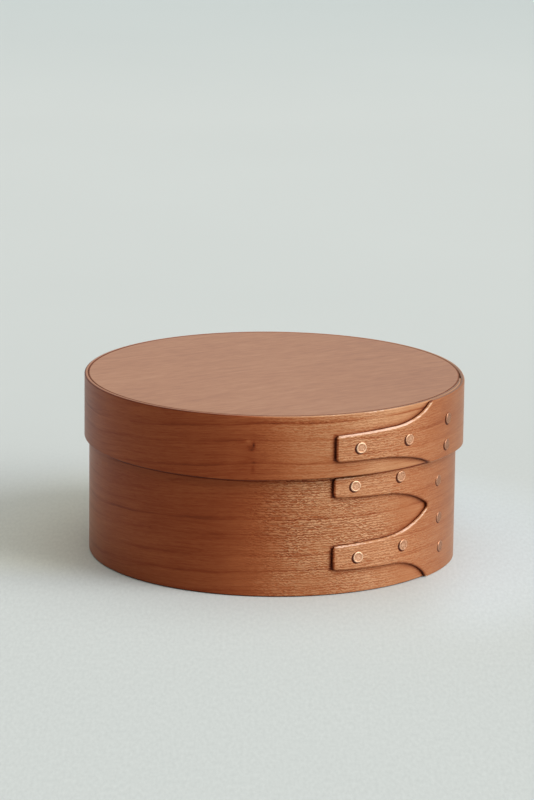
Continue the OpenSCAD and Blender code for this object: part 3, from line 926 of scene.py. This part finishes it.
# %% Cherry for the bands
def cherry_band(name, band):
    wood = StripWood(name, band)
    s, front = wood.s, wood.front
    waves = ripple(wood)
    streaks = wood.in_grain((18, 0.8, 3), 17, 3, 0.65)
    fibre = wood.in_grain((4, 0.35, 1), 19, 2, 0.6)
    pores = wood.ramp(wood.in_grain((2.4, 0.3, 1), 31, 1), [(0.66, 0.0), (0.76, 1.0)])
    # painted light along the strip: darker on the left that faces away from the window, lighter where its
    # light and sheen fall, with some of the wood's own tone
    zones = [*band["lap_zones"], (130, 0.0), *((front + place, tone) for place, tone in band["front_zones"])]
    # a ramp can't go below 0, so it holds the zones' tones around 0.5
    zones = wood.math("SUBTRACT", wood.along_strip(*((place, 0.5 + tone) for place, tone in zones)), 0.5)
    tone = wood.total(
        0.5,
        wood.swing(wood.unturned((90, 26, 20), 11), 0.14),
        wood.swing(wood.unturned((26, 14, 10), 12), 0.10),
        wood.swing(wood.in_grain((120, 3.2, 8), 13, 3, 0.6), 0.14),
        wood.swing(streaks, 0.20),
        wood.swing(fibre, 0.18),
        zones,
        wood.product(low_down(wood), wood.between(s, front + 18, front + 36, 12), band["foot"]),
        wood.product(waves, 0.20),
        wood.product(year_rings(wood), -1.0),
        wood.product(pores, -0.08),
        wood.product(tack_stain_and_shadow(wood), -1.0),
    )
    if band is BODY:
        tone = wood.total(tone, under_lid_tone_and_shadow(wood))
    for place, z, half_length, half_height, strength in band["spots"]:
        mark = spot(wood, front + place, z, half_length, half_height)
        tone = wood.total(tone, wood.product(mark, strength))
    tone = wood.total(tone, edge_light_and_shade(wood))

    colour = wood.ramp(tone, [
        (0.00, (0.070, 0.012, 0.004)), (0.30, (0.265, 0.064, 0.020)), (0.50, (0.415, 0.148, 0.058)),
        (0.70, (0.530, 0.262, 0.130)), (0.85, (0.675, 0.378, 0.208)), (1.00, (0.900, 0.640, 0.510))])
    # painted light: the shaded left is made redder, and the right greyer as a painted sheen
    redder_in_shade = wood.along_strip((front - 180, 0.3), (front - 110, 1.0), (front - 10, 1.0), (front + 22, 0.0))
    colour = wood.mix(redder_in_shade, colour, (0.95, 0.80, 0.73, 1), "MULTIPLY")
    greyer_in_sheen = wood.along_strip((40, 0.0), (60, 0.45), (80, 1.0), (170, 1.0), (200, 0.0))
    colour = wood.mix(greyer_in_sheen, colour, (0.88, 1.08, 1.18, 1), "MULTIPLY")
    rim = wood.product(wood.ramp(wood.upwards, [(0.85, 0.0), (0.99, 1.0)]),
                       wood.above(wood.height, band["height"] - 0.8, 0.2))
    lapped = wood.most(wood.below(s, 125, 12), wood.above(s, front + 56, 15))
    rim_colour = wood.ramp(lapped, [(0.0, (0.415, 0.187, 0.098)), (1.0, (0.235, 0.107, 0.062))])
    colour = wood.mix(rim, colour, rim_colour)

    gloss = wood.total(0.36, wood.swing(fibre, 0.12), wood.swing(tone, -0.10))
    relief = wood.total(wood.product(streaks, 0.12), wood.product(fibre, 0.15), wood.product(waves, 1.8),
                        wood.product(pores, -0.25))
    wood.shader(Base_Color=colour, Roughness=gloss, Normal=wood.bump(1.0, 0.00006, relief),
                Specular_IOR_Level=0.2, Specular_Tint=(1.0, 0.82, 0.70, 1))
    print("%s: %d nodes" % (name, len(wood.tree.nodes)))
    return wood.material


body_wood = cherry_band("cherry_body_band", BODY)
lid_wood = cherry_band("cherry_lid_band", LID)

# %% [markdown]
# ## The two bands
# Everything for the bands is ready: the boards are bent, take their wood and ride on their
# bodies, the body's band on the box and the lid's band on the lid.

# %% Bend and fit the two bands
finish_piece(bend_strip(boards["body"], BODY), "body_band_bent", "box", body_wood, "cherry_band", "body_band")
finish_piece(bend_strip(boards["lid"], LID), "lid_band_bent", "lid", lid_wood, "cherry_band", "lid_band")

# %% [markdown]
# ## Cherry for the discs
# The discs are of the same cherry, sawn as wide flat boards. Their grain runs straight across the
# face, so it is read in the object's own place and not along a strip. The lid's grain lies a
# little askew of the lap, as it fell when the disc was glued in. The groove beside the band is
# dark and dull, and the disc is a little darker towards its right side.

# %% Cherry for the discs
def cherry_disc(name, turn, seed, radius, centre):
    wood = Finish(name)
    place = wood.place()
    mm = wood.millimetres(place, turn)
    x, y, z = wood.parts(mm)
    from_centre = wood.vector("SUBTRACT", place, centre * MM)
    out = wood.vector("LENGTH", wood.vector("MULTIPLY", from_centre, (1000, 1000, 0)))
    groove = wood.above(out, radius - 0.7, 0.2)
    # a little darker towards the right
    darker_to_right = wood.slope(wood.parts(place)[0], 0.01, 0.07, kind="LINEAR")
    across = wood.total(y, wood.swing(wood.noise(mm, (90, 30, 30), seed=seed), 10))
    grained = wood.add("CombineXYZ", X=x, Y=across, Z=z).outputs[0]
    rings = contour_rings(wood, wood.noise(grained, (260, 12, 9), 1, 0.4, seed + 5), 8)
    streaks = wood.noise(grained, (34, 1.8, 2), 3, 0.6, seed + 7)
    fibre = wood.noise(grained, (8, 0.5, 1), 2, 0.6, seed + 9)
    pores = wood.ramp(wood.noise(grained, (3.0, 0.3, 1), 1, 0.5, seed + 11), [(0.66, 0.0), (0.76, 1.0)])
    tone = wood.total(
        0.5,
        wood.swing(wood.noise(mm, (60, 30, 20), seed=seed + 2), 0.16),
        wood.swing(wood.noise(grained, (240, 8, 6), 3, 0.6, seed + 3), 0.16),
        wood.swing(streaks, 0.16),
        wood.swing(fibre, 0.22),
        wood.swing(wood.noise(grained, (8, 2.2, 3), 2, 0.6, seed + 15), 0.36),
        wood.product(rings, -0.06),
        wood.product(pores, -0.08),
        wood.product(groove, -0.42),
        wood.product(darker_to_right, -0.06),
    )
    colour = wood.ramp(tone, [
        (0.00, (0.17, 0.058, 0.026)), (0.30, (0.325, 0.137, 0.076)), (0.50, (0.415, 0.187, 0.098)),
        (0.72, (0.49, 0.243, 0.136)), (1.00, (0.59, 0.325, 0.214))])
    gloss = wood.total(0.46, wood.swing(tone, -0.15), wood.product(groove, 0.5))
    relief = wood.math("SUBTRACT", streaks, pores)
    print("%s: grain turned by %d degrees" % (name, turn))
    return wood.shader(Base_Color=colour, Roughness=gloss, Normal=wood.bump(0.2, 0.00005, relief),
                       Specular_IOR_Level=0.5)


# %% [markdown]
# ## The discs
# Each disc is turned from a flat board and glued into its band. It starts as a filled circle that
# is thickened. Its outer face is level with the band's rim, and a small bevel there leaves a fine
# groove all round. Two insets keep the soft shading at the edge.

# %% Turn the discs
plain_under, plain_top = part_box("lid_disc")
DISC = round((plain_top.z - plain_under.z) / MM, 1)  # thickness of a disc
SHOWN_BEVEL = 0.4
HIDDEN_BEVEL = 0.15


def turned_disc(radius, low, offset, show):
    """A disc from the height low up, which shows the face at its own height show."""
    bm = bmesh.new()
    bmesh.ops.create_circle(bm, cap_ends=True, radius=radius, segments=180)
    thicken(bm, bm.faces[:], DISC)
    round_rim(bm, show, SHOWN_BEVEL, 2)
    round_rim(bm, DISC - show, HIDDEN_BEVEL, 2)
    for face in broad_faces(bm):
        inset(bm, face, 0.3)
        inset(bm, face, radius * 0.45)
    bmesh.ops.translate(bm, verts=bm.verts, vec=offset + Vector((0, 0, low)))
    bmesh.ops.scale(bm, verts=bm.verts, vec=(MM, MM, MM))
    return bm


lid_board = cherry_disc("cherry_lid_disc", -32, 3.0, LID["radius"], LID_OFFSET)
finish_piece(turned_disc(LID["radius"] - CLEAR, BODY["height"], LID_OFFSET, DISC), "lid_disc_turned", "lid",
             lid_board, "cherry_disc", "lid_disc")
bottom_board = cherry_disc("cherry_bottom_disc", 8, 60.0, BODY["radius"], BODY["offset"])
finish_piece(turned_disc(BODY["radius"] - CLEAR, 0, BODY["offset"], 0), "bottom_disc_turned", "box",
             bottom_board, "cherry_disc", "bottom_disc")

# %% [markdown]
# ## Copper tacks
# A tack is stamped from copper wire: a flat round head with a slightly raised soft rim, a square
# shank, and a point that is bent over inside the box when the tack is driven against an iron.
# One column of faces does it all: the head is a circle that is extruded and bevelled, and its
# underside is inset, pulled inwards as the shank, then turned down and narrowed to the point. A
# few hundredths of a millimetre of random dents make each head hand-hammered.

# %% Tack
HEAD_RISE = 0.4  # how far the head stands above the wood
SEAT = 0.15  # how far it sits in the wood
SHANK = 1.1  # width of the shank
HEAD_ROUNDING = 0.32
DENT = 0.05


def dent_head(own, seed):
    """Small random dents in the head's top and outline, and each point's distance from the middle."""
    from_middle = own.verts.layers.float["from_middle"]
    for v in own.verts:
        v[from_middle] = math.hypot(v.co.x, v.co.y) / (HEAD / 2)
        dent = noise.noise(Vector((v.co.x * 1.3, v.co.y * 1.3, seed * 7.0))) * DENT
        if v.co.z > SEAT + 0.1:
            v.co.z += dent - 0.03
        edge = 1 + 0.02 * noise.noise(Vector((v.co.x * 0.6, v.co.y * 0.6, seed * 3.0 + 5)))
        v.co.x *= edge
        v.co.y *= edge


def pull_shank(own, under):
    """Pulls the shank out of the head's underside, and clinches its point inside the box."""
    inside = -2 * WALL
    # each step is (height from the head's middle, depth, narrowing, turn in degrees)
    steps = [(0, inside + 0.15, 1.0, 0), (-0.25, inside - 0.02, 1.0, 45), (-0.7, inside - 0.02, 0.9, 40),
             (-2.0, inside + 0.06, 0.62, 5), (-2.8, inside + 0.12, 0.4, 0)]
    for y, depth, narrow, turn in steps:
        moved = bmesh.ops.extrude_face_region(own, geom=[under])["geom"]
        under = [f for f in moved if isinstance(f, bmesh.types.BMFace)][0]
        now = under.calc_center_median()
        bmesh.ops.translate(own, verts=under.verts, vec=(0, y - now.y, depth - now.z))
        now = under.calc_center_median()
        bmesh.ops.rotate(own, verts=under.verts, cent=now, matrix=Matrix.Rotation(math.radians(turn), 3, "X"))
        shrink = (narrow, narrow, narrow if turn else 1)
        bmesh.ops.scale(own, verts=under.verts, vec=shrink, space=Matrix.Translation(-now))


def tack(bm, angle, z, band, sunk, seed):
    """Adds a tack to bm, in millimetres, at an angle and a height on a band."""
    own = bmesh.new()
    own.verts.layers.float.new("from_middle")
    bmesh.ops.create_circle(own, cap_ends=True, radius=HEAD / 2, segments=32)
    thicken(own, own.faces[:], SEAT + HEAD_RISE)
    round_rim(own, SEAT + HEAD_RISE, HEAD_ROUNDING, 4)
    face = max(own.faces, key=lambda f: f.calc_center_median().z + f.calc_area() * 0.01)
    for width, sink in ((0.15, 0.0), (0.12, -0.03), (0.35, -0.03), (0.45, 0.0)):
        inset(own, face, width, sink)
    dent_head(own, seed)
    under = min(own.faces, key=lambda f: f.calc_center_median().z)
    inset(own, under, HEAD / 2 - SHANK * 0.62)
    bmesh.ops.translate(own, verts=own.verts, vec=(0, 0, -SEAT - sunk))
    pull_shank(own, under)
    a = math.radians(angle)
    place = Matrix(((math.cos(a), 0, math.sin(a)), (math.sin(a), 0, -math.cos(a)), (0, 1, 0))).to_4x4()
    place.translation = towards(angle, band["outside"]) + band["offset"] + Vector((0, 0, band["lift"] + z))
    bmesh.ops.transform(own, matrix=place, verts=own.verts)
    mesh = bpy.data.meshes.new("one_tack")
    own.to_mesh(mesh)
    own.free()
    bm.from_mesh(mesh)
    bpy.data.meshes.remove(mesh)


def tack_group(places, band):
    bm = bmesh.new()
    bm.verts.layers.float.new("from_middle")
    for number, (angle, z, sunk) in enumerate(places):
        tack(bm, angle, z, band, sunk, seed=number + 1 + round(z))
    bmesh.ops.recalc_face_normals(bm, faces=bm.faces)
    bmesh.ops.scale(bm, verts=bm.verts, vec=(MM, MM, MM))
    return bm


print("a shank goes through %.1f mm of wood before it is clinched" % (2 * WALL))

# %% [markdown]
# ## Copper
# The tacks are not polished: they are a dull, mottled, pinkish copper with a darker ring where the
# head is dished. The first tack of each finger gets a painted highlight on its rim, while the other
# rims are nearly as dull as their middles. The columns' tacks are a darker, browner copper. A metal
# has no colour of its own under the shine, so the colour goes into the reflection, and fine
# scratches spread it out.

# %% Copper
FIRST_TACKS_END = 47  # how far to the right of the middle the first tack of a finger ends


def copper_finish(name, colours, rim_shine):
    copper = Finish(name)
    mm = copper.millimetres(copper.place())
    spots = copper.noise(mm, (0.9, 0.9, 0.9), 3, 0.6, 2.0)
    grainy = copper.noise(mm, (0.42, 0.42, 0.42), 2, 0.5, 8.0)
    from_middle = copper.attribute("from_middle", "Fac")
    # painted highlight on the rims of the tacks left of FIRST_TACKS_END
    rim_highlight_share = copper.below(copper.parts(mm)[0], FIRST_TACKS_END, 2)
    rim_highlight_share = copper.total(copper.product(rim_highlight_share, 0.9), 0.1)
    rim = copper.product(copper.above(from_middle, 0.76, 0.07), rim_highlight_share)
    dished = copper.between(from_middle, 0.52, 0.68, 0.06)
    tone = copper.total(0.5, copper.swing(spots, 0.5), copper.swing(grainy, 1.2),
                        copper.product(rim, rim_shine), copper.product(dished, -0.15))
    colour = copper.ramp(tone, list(zip((0.2, 0.5, 0.85), colours)))
    dull = copper.total(0.32, copper.product(grainy, 0.22))
    scratches = copper.bump(0.6, 0.00004, copper.total(spots, grainy))
    print("%s: %d nodes" % (name, len(copper.tree.nodes)))
    return copper.shader(Base_Color=colour, Metallic=1.0, Roughness=dull, Normal=scratches)


finger_copper = copper_finish(
    "finger_copper", [(0.42, 0.175, 0.09), (0.67, 0.345, 0.205), (0.90, 0.60, 0.40)], 0.30)
column_copper = copper_finish(
    "column_copper", [(0.35, 0.150, 0.08), (0.50, 0.235, 0.135), (0.62, 0.345, 0.22)], 0.12)

# %% [markdown]
# ## Driving the tacks
# Tacks that do the same work are one piece, as they are in the plain solids. The fingers' tacks
# get the copper whose first rims have a painted highlight, and the columns' the darker one.

# %% Drive the tacks
for node, (body, band, places) in tacks.items():
    copper = column_copper if "seam" in node else finger_copper
    finish_piece(tack_group(places, band), node + "_copper", body, copper, "copper", node)

# %% [markdown] The dressed box must not be larger than the plain one.
